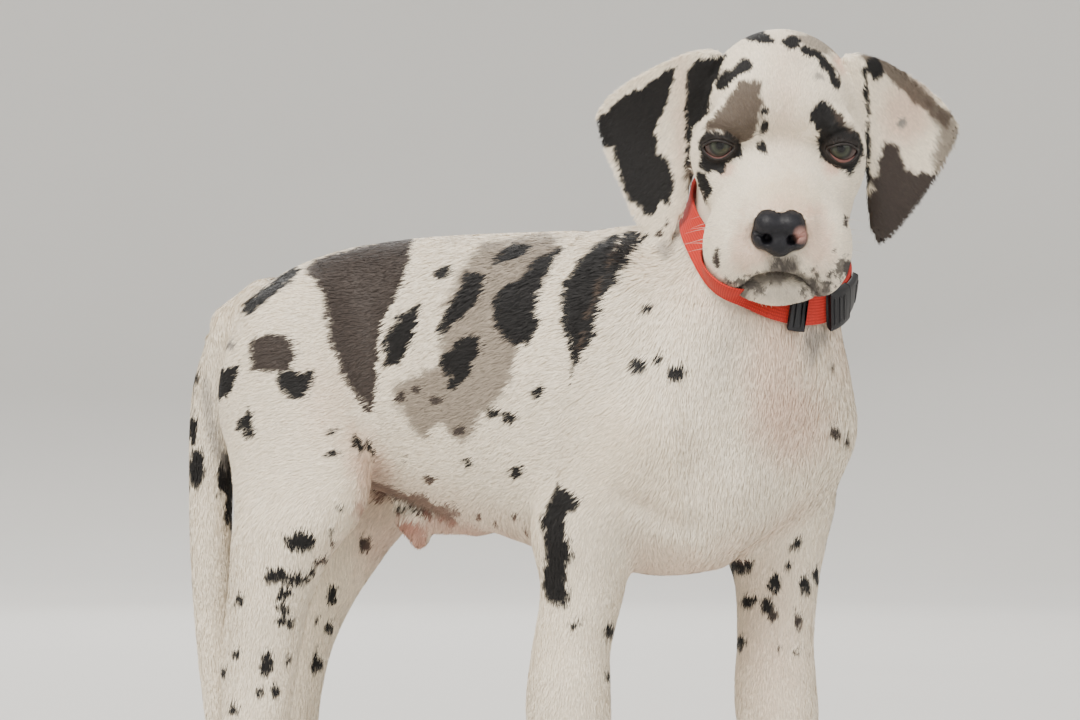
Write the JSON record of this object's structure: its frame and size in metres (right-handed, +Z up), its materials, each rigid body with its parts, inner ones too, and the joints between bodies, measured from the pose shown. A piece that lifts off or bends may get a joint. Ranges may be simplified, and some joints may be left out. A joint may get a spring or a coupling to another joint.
{
  "type": "great dane puppy",
  "caption": "Life-size standing harlequin Great Dane puppy with drop ears, hanging tail, long straight legs and a red strap collar, head turned to one side; a fixed display figure.",
  "frame": {"origin": "on the floor under the middle of the outline, midway in X and Y", "axes": "+X from tail to chest, +Y to the animal's left, +Z up"},
  "size_m": [0.5508, 0.2238, 0.5088],
  "materials": {
    "coat": "short glossy hair, warm white with black and grey-brown patches",
    "eye": "wet gloss, grey-green iris with a black pupil",
    "nose": "damp pebbled black leather",
    "claw": "satin horn, dark at the root",
    "strap": "red woven nylon webbing",
    "buckle": "black moulded plastic, satin"
  },
  "bodies": {
    "root": {"head": "coat", "lower_jaw": "coat", "nose": "nose", "neck": "coat", "ear_left": "coat", "eye_left": "eye", "ear_right": "coat", "eye_right": "eye", "torso_front": "coat", "torso_rear": "coat", "fore_right_upper": "coat", "fore_right_lower": "coat", "fore_right_claw_1": "claw", "fore_right_claw_2": "claw", "fore_right_claw_3": "claw", "fore_right_claw_4": "claw", "fore_right_paw": "coat", "fore_left_upper": "coat", "fore_left_lower": "coat", "fore_left_claw_1": "claw", "fore_left_claw_2": "claw", "fore_left_claw_3": "claw", "fore_left_claw_4": "claw", "fore_left_paw": "coat", "hind_right_upper": "coat", "hind_right_lower": "coat", "hind_right_claw_1": "claw", "hind_right_claw_2": "claw", "hind_right_claw_3": "claw", "hind_right_claw_4": "claw", "hind_right_paw": "coat", "hind_left_upper": "coat", "hind_left_lower": "coat", "hind_left_claw_1": "claw", "hind_left_claw_2": "claw", "hind_left_claw_3": "claw", "hind_left_claw_4": "claw", "hind_left_paw": "coat", "tail_root": "coat", "tail_middle": "coat", "tail_tip": "coat", "collar_strap": "strap", "collar_buckle_slider": "buckle", "collar_buckle_body": "buckle", "collar_buckle_tongue": "buckle"}
  },
  "joints": []
}
